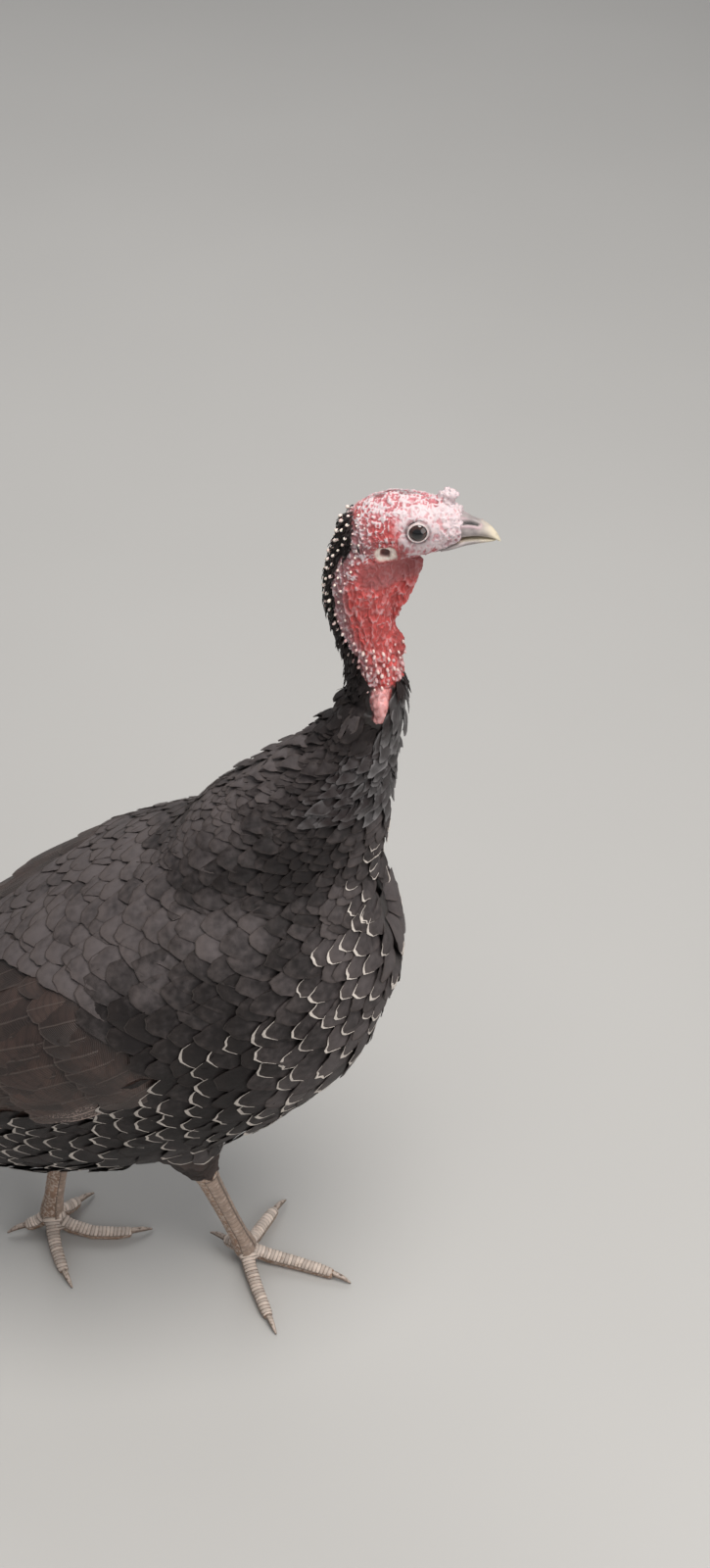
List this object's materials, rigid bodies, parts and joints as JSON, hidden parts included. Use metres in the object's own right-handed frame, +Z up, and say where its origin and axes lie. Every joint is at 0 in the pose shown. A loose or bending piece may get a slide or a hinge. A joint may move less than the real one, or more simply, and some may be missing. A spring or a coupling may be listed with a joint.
{
  "type": "domestic turkey",
  "caption": "Life-size standing domestic turkey hen in mid step, dark pale-laced plumage, bare red neck and head, as a still museum model.",
  "frame": {"origin": "on the floor, at the middle of the bird's box seen from above", "axes": "+X is the way the bird heads, +Y is its left, +Z is up"},
  "size_m": [0.6328, 0.2046, 0.6585],
  "materials": {
    "body_feathers": "overlapping dark brown-black feathers with a soft sheen",
    "flight_feathers": "smooth long dark brown feathers with fine pale flecks",
    "neck_skin": "bare red wrinkled and beaded skin",
    "face_skin": "bare pinkish white pebbled skin",
    "bill": "grey horn with a cream tip, half gloss",
    "eye": "wet dark brown",
    "leg_scales": "grey-brown scaled skin with pale scutes",
    "claw": "grey-brown horn"
  },
  "bodies": {
    "root": {"bill_lower": "bill", "bill_upper": "bill", "caruncle": "neck_skin", "claw_left_hind": "claw", "claw_left_inner": "claw", "claw_left_middle": "claw", "claw_left_outer": "claw", "claw_right_hind": "claw", "claw_right_inner": "claw", "claw_right_middle": "claw", "claw_right_outer": "claw", "dewlap": "neck_skin", "eye_left": "eye", "eye_right": "eye", "head": "face_skin", "neck_lower": "body_feathers", "neck_upper": "neck_skin", "primaries_left": "flight_feathers", "primaries_right": "flight_feathers", "shank_left": "leg_scales", "shank_right": "leg_scales", "snood": "face_skin", "tail": "flight_feathers", "thigh_left": "body_feathers", "thigh_right": "body_feathers", "toe_left_hind": "leg_scales", "toe_left_inner": "leg_scales", "toe_left_middle": "leg_scales", "toe_left_outer": "leg_scales", "toe_right_hind": "leg_scales", "toe_right_inner": "leg_scales", "toe_right_middle": "leg_scales", "toe_right_outer": "leg_scales", "trunk": "body_feathers", "wattle": "neck_skin", "wing_left": "flight_feathers", "wing_right": "flight_feathers"}
  },
  "joints": []
}
